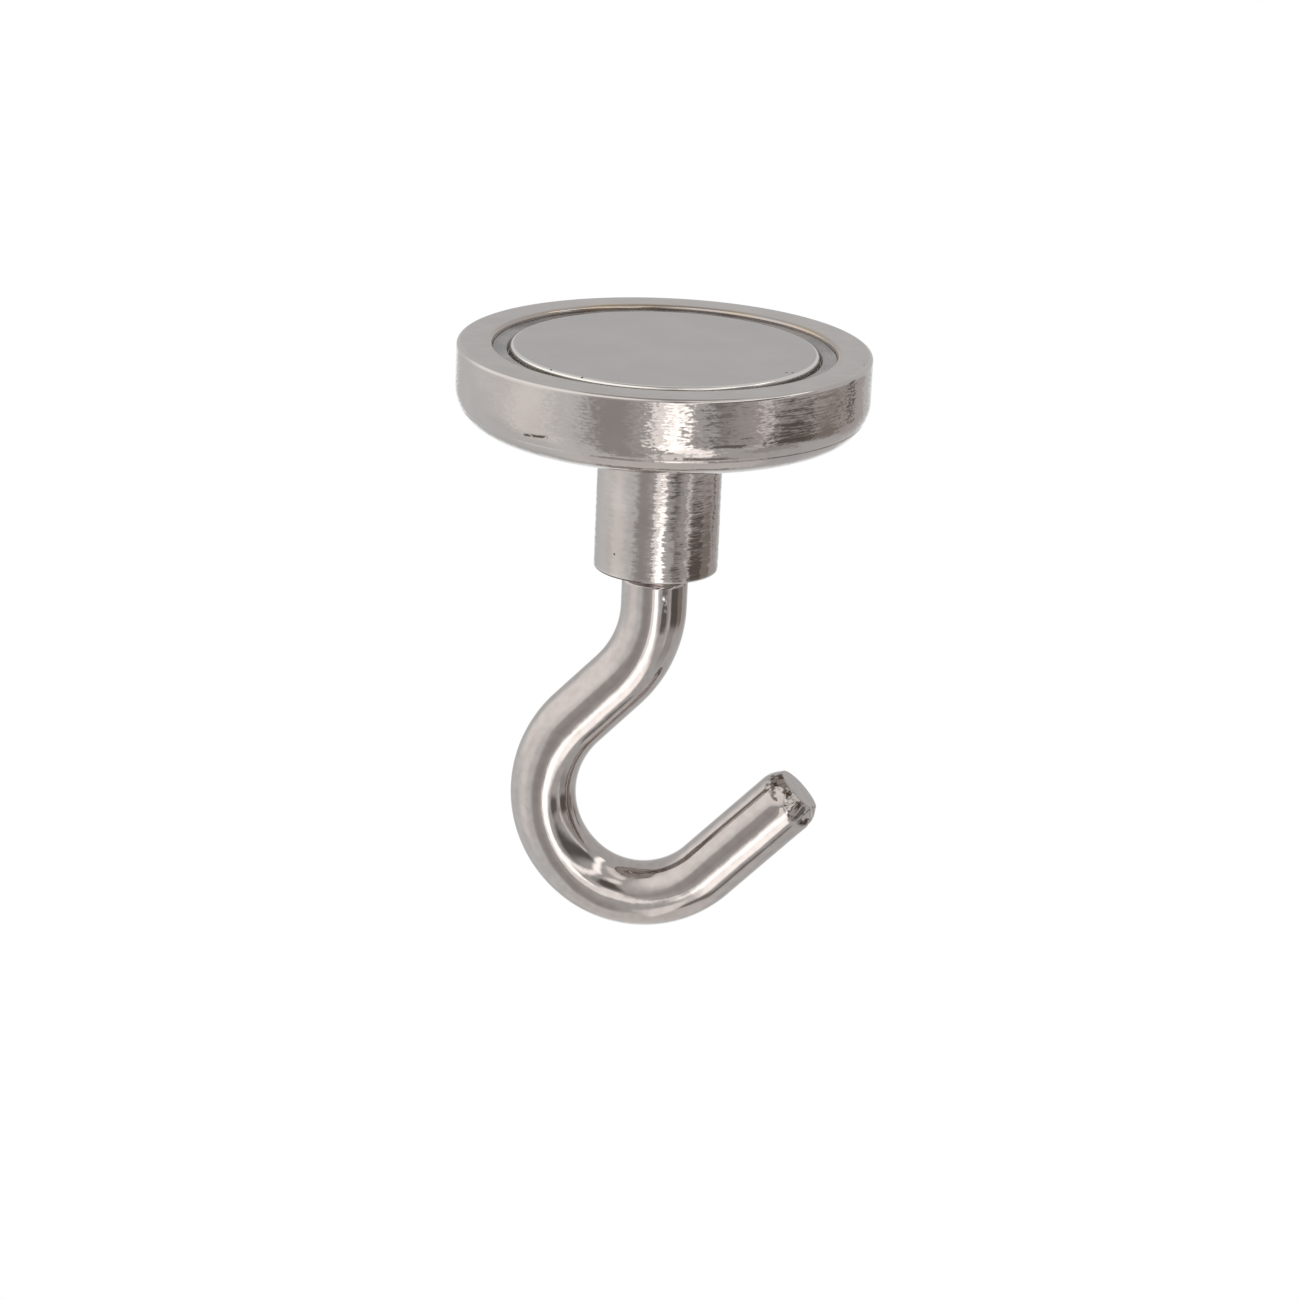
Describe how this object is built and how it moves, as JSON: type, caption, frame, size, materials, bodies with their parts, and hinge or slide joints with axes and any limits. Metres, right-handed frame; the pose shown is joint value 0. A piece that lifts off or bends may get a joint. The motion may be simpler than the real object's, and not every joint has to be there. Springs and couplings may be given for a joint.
{
  "type": "magnetic hook",
  "caption": "Round pot magnet with a threaded bush under it and a bent wire hook that screws into the bush, for hanging things from a steel ceiling, beam or shelf.",
  "frame": {"origin": "centre of the pot's rim plane, which is the plane of the steel that the magnet holds", "axes": "+Z out of the magnet's face into the steel; the hook hangs towards -Z, lies in the XZ plane and opens towards +X"},
  "size_m": [0.032, 0.032, 0.0475],
  "materials": {
    "pot_nickel": "bright nickel plating over turned steel",
    "bush_nickel": "bright nickel plating over fine turning marks",
    "magnet_nickel": "satin nickel plating",
    "resin": "glossy cured resin",
    "hook_nickel": "bright nickel plating over drawn wire"
  },
  "bodies": {
    "pot": {"pot_shell": "pot_nickel", "threaded_bush": "bush_nickel", "magnet_disc": "magnet_nickel", "potting_resin": "resin"},
    "hook": {"screw_hook": "hook_nickel"}
  },
  "joints": [
    {"name": "hook_turn", "type": "hinge", "parent": "pot", "child": "hook", "pos_m": [0, 0, -0.0177], "axis": [0, 0, 1], "range_deg": [-180, 180]}
  ]
}
